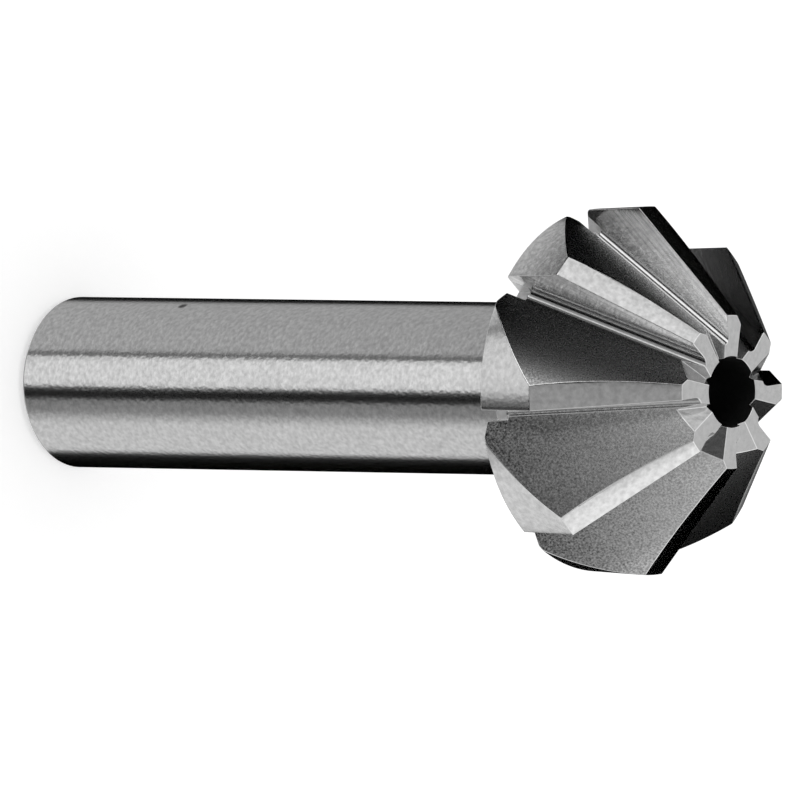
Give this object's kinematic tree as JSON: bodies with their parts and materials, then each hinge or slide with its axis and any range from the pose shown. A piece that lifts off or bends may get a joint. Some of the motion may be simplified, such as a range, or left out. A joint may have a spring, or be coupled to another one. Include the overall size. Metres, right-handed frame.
{
  "type": "countersink bit",
  "caption": "One-piece fluted countersink with a ground conical cutting head, radial teeth round a flat drilled nose, and a plain cylindrical shank for a chuck or collet.",
  "frame": {"origin": "centre of the flat shank end, which the tool stands on", "axes": "+Z along the tool axis from the shank end to the cutting nose; +X lies in the rake face of the first tooth; +Y completes the right-handed frame, and the teeth cut towards it"},
  "size_m": [0.027, 0.027, 0.0645],
  "materials": {
    "tool_steel": "bright ground shank, lands and rake faces; duller mottled tooth backs"
  },
  "bodies": {
    "root": {"countersink_bit": "tool_steel"}
  },
  "joints": []
}
